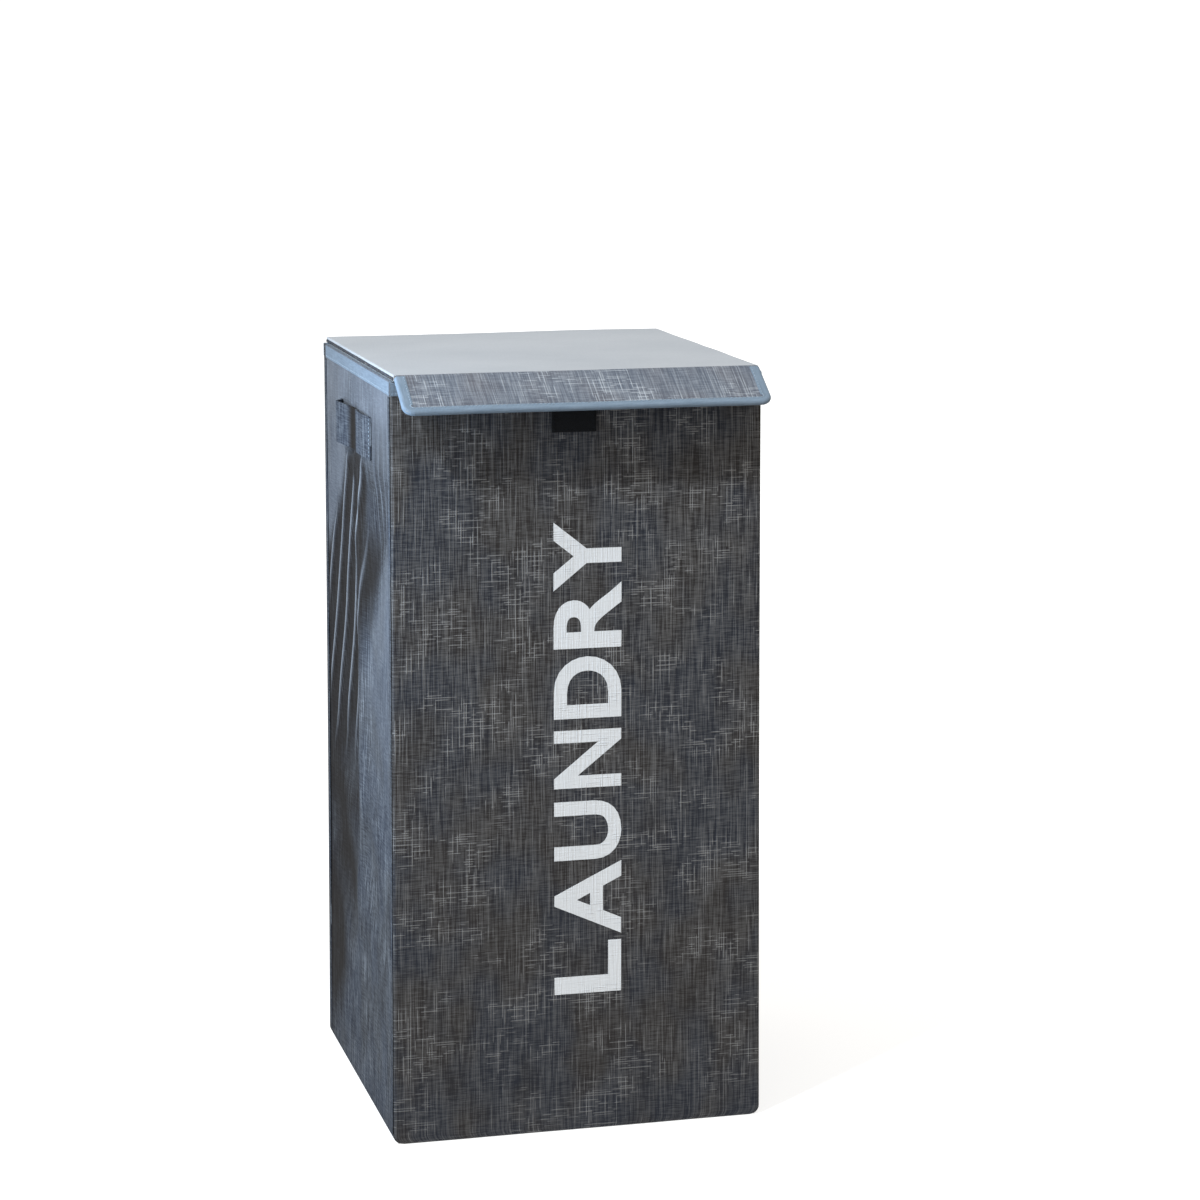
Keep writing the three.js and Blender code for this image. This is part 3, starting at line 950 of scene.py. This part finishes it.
def hinge_place(distance, run):
    ripple = 0.15 * MM * waver(distance * 30, run * 30, 2)
    return hinge_low.x + distance, hinge_high.y + ripple, hinge_low.z + run


hinge_rows = stations(hinge_rise, 24)
hinge = cloth_panel("lid_hinge_strip", stations(hinge_high.x - hinge_low.x, 30), hinge_rows,
                    hinge_place, (0, 1, 0.2), 0.8 * MM)
hinge.data.materials.append(gusset_linen)
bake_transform(hinge)
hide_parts("lid_hinge_cloth")


# Flap. A narrow board at the lid's front edge, covered in linen coloured lighter than the body's
# as painted light from above, and lined below. It hangs at an angle to the lid and turns on the
# fold between them.
FLAP_ANGLE = math.radians(31)
FOLD = Vector((0, -0.1603, 0.6507))
FLAP_OUT = Vector((0, -math.cos(FLAP_ANGLE), -math.sin(FLAP_ANGLE)))
FLAP_UP = Vector((0, -math.sin(FLAP_ANGLE), math.cos(FLAP_ANGLE)))
FLAP_HALF = 155 * MM
FLAP_LONG = 48 * MM
FLAP_DEEP = 4.6 * MM
LINK_WIDTH = 3.0 * MM
COVER_HALF = FLAP_HALF - 2.5 * MM
COVER_LONG = FLAP_LONG - 5 * MM


def on_flap(x, out, height):
    """A place on the flap: out from the fold, and height above its underside."""
    warp = 0.8 * MM * waver(x * 8, 0, 5) * out / FLAP_LONG
    return FOLD + Vector((x, 0, 0)) + FLAP_OUT * out + FLAP_UP * (height + warp)


def flap_place(distance, run):
    if run < LINK_WIDTH:
        share = run / LINK_WIDTH
        lid_edge = Vector((distance - COVER_HALF, LID_LOW.y + 0.2 * MM, LID_HIGH.z))
        return lid_edge.lerp(on_flap(distance - COVER_HALF, 1 * MM, FLAP_DEEP), share)
    return on_flap(distance - COVER_HALF, run - LINK_WIDTH + 1 * MM, FLAP_DEEP)


flap_rows = stations(LINK_WIDTH + COVER_LONG, 20, [k * MM for k in (1, 2, 3)])
flap_cover = cloth_panel("flap_cover_cloth", stations(2 * COVER_HALF, 60), flap_rows, flap_place,
                         (0, -0.6, 1))
# The flap's linen is the body's linen made lighter, as painted light from above.
LIT_FLAP_LINEN = (paint(99, 105, 117), paint(192, 199, 208), paint(101, 110, 124),
              paint(110, 107, 112))
lit_flap_linen, _, lit_flap_linen_colour, lit_flap_linen_height = linen("flap_linen", *LIT_FLAP_LINEN)
flap_cover.data.materials.append(lit_flap_linen.wear(lit_flap_linen_colour, lit_flap_linen_height, WEAVE_RELIEF))
tuple(on_flap(0, 1 * MM, FLAP_DEEP))
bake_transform(flap_cover)
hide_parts("flap_cloth")


def flap_lining_place(distance, run):
    return on_flap(distance - COVER_HALF, 1 * MM + run, 0)


flap_lining = cloth_panel("flap_under_lining", stations(2 * COVER_HALF, 40),
                          stations(COVER_LONG, 12), flap_lining_place,
                          tuple(-FLAP_UP), LINING_THICK)
dress(flap_lining, lining_cloth, "flap", "lining", "flap_lining")


# Flap binding. The same blue tape is folded round the flap's two ends and its free edge in one
# length, eased round the rounded corners, and sewn along its inner edge.
BIND = 9 * MM
BIND_CORNER = 9.4 * MM
bind_round = BIND_CORNER * math.pi / 2
end_run = FLAP_LONG - BIND_CORNER - 1 * MM
front_run = 2 * (FLAP_HALF - BIND_CORNER)
bind_length = 2 * end_run + 2 * bind_round + front_run
bind_radius = FLAP_DEEP / 2 + 0.4 * MM
bind_straight = BIND - bind_radius
bind_girth = 2 * bind_straight + math.pi * bind_radius


def bind_path(along):
    """The flap's outline: (x, out) on it, and the way that points off the flap there."""
    if along < end_run:
        return (-FLAP_HALF, 1 * MM + along), (-1, 0)
    along -= end_run
    if along < bind_round:
        angle = along / BIND_CORNER
        way = (-math.cos(angle), math.sin(angle))
        return (-FLAP_HALF + BIND_CORNER + way[0] * BIND_CORNER,
                FLAP_LONG - BIND_CORNER + way[1] * BIND_CORNER), way
    along -= bind_round
    if along < front_run:
        return (-FLAP_HALF + BIND_CORNER + along, FLAP_LONG), (0, 1)
    along -= front_run
    if along < bind_round:
        angle = along / BIND_CORNER
        way = (math.sin(angle), math.cos(angle))
        return (FLAP_HALF - BIND_CORNER + way[0] * BIND_CORNER,
                FLAP_LONG - BIND_CORNER + way[1] * BIND_CORNER), way
    along -= bind_round
    return (FLAP_HALF, FLAP_LONG - BIND_CORNER - along), (1, 0)


def bind_spot(along, inset, height):
    """A place on the flap that far inside its outline."""
    (x, out), (way_x, way_out) = bind_path(along)
    return on_flap(x - way_x * inset, out - way_out * inset, height)


def bind_place(distance, along):
    if distance < bind_straight:
        narrow = 1 - 0.45 * bind_path(along)[1][1]
        inset = bind_radius + (BIND - bind_radius - distance) * narrow - 0.2 * MM
        return bind_spot(along, inset, FLAP_DEEP + 0.4 * MM)
    if distance > bind_girth - bind_straight:
        inset = bind_radius + distance - (bind_girth - bind_straight) - 0.2 * MM
        return bind_spot(along, inset, -0.4 * MM)
    angle = (distance - bind_straight) / bind_radius
    return bind_spot(along, bind_radius * (1 - math.sin(angle)) - 0.2 * MM,
                     FLAP_DEEP / 2 + bind_radius * math.cos(angle))


corner_rows = [end_run + bind_round * k / 10 for k in range(11)]
corner_rows += [bind_length - r for r in corner_rows]
binding = cloth_panel(
    "flap_edge_binding",
    stations(bind_girth, 8, [bind_straight + math.pi * bind_radius * k / 8 for k in range(9)]),
    stations(bind_length, 90, corner_rows), bind_place, (0, -0.85, -0.5), TAPE_THICK)
dress(binding, flap_tape, "flap", "tape", "flap_binding")
bind_spots = []
for k in range(int(bind_length / STITCH_EVERY)):
    along = 2 * MM + k * STITCH_EVERY
    from_edge = bind_radius + (BIND - bind_radius - 1.6 * MM) * (1 - 0.45 * bind_path(along)[1][1])
    here = bind_spot(along, from_edge, FLAP_DEEP + 0.5 * MM)
    there = bind_spot(along + 0.5 * MM, from_edge, FLAP_DEEP + 0.5 * MM)
    bind_spots.append((here, there - here))
stitch_row("flap_binding_stitches", bind_spots, "flap")


# Hook patch under the flap: the stiff half of the fastener, black, with rows of fine hooks.
hooks = Finish("black_hooks", 0.6)
across, up = hooks.cloth_place()
hook_rows = (up * 4200.0).maths("SINE", up * 4200.0) * 0.5 + 0.5
hook_colour = hooks.mix(hook_rows * 0.8 + hooks.noise(across / 0.0008, up / 0.0008) * 0.2,
                        paint(9, 10, 12), paint(40, 42, 46))
black_hooks = hooks.wear(hook_colour, hook_rows, 0.0005)
patch_low, patch_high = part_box("hook_patch")
HOOK_OUT, HOOK_RUN = 15 * MM, 28 * MM


def hook_place(distance, run):
    return on_flap(patch_low.x + distance, HOOK_OUT + run, -1.3 * MM)


hook_patch = cloth_panel("flap_hook_patch", stations(patch_high.x - patch_low.x, 24),
                         stations(HOOK_RUN, 18), hook_place, tuple(-FLAP_UP), 0.9 * MM)
dress(hook_patch, black_hooks, "flap", "hook_and_loop", "hook_patch")
